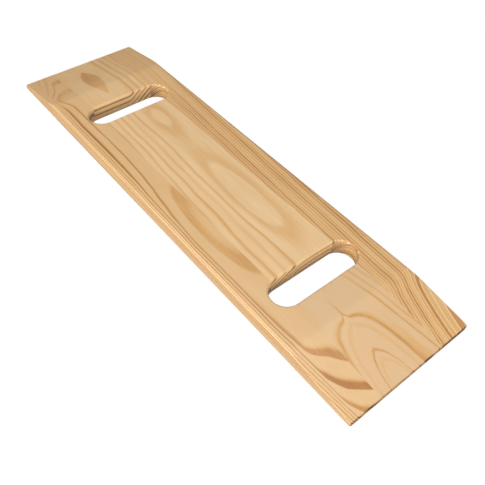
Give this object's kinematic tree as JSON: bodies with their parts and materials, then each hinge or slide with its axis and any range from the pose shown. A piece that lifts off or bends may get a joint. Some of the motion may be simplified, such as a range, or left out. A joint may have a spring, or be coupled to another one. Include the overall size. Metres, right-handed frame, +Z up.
{
  "type": "transfer board",
  "caption": "Long flat board of three glued pine staves with thin sloped ends, rounded long edges and an oval hand slot near each end, for sliding across from seat to seat.",
  "frame": {"origin": "on the underside, below the middle of the board", "axes": "+X along the board's length, +Y across it, +Z up out of the sloped top face"},
  "size_m": [0.762, 0.2032, 0.0254],
  "materials": {
    "wood": "clear lacquered plain-sawn pine staves glued edge to edge, satin to gloss"
  },
  "bodies": {
    "root": {"left_stave": "wood", "right_stave": "wood", "near_block": "wood", "middle_block": "wood", "far_block": "wood"}
  },
  "joints": []
}
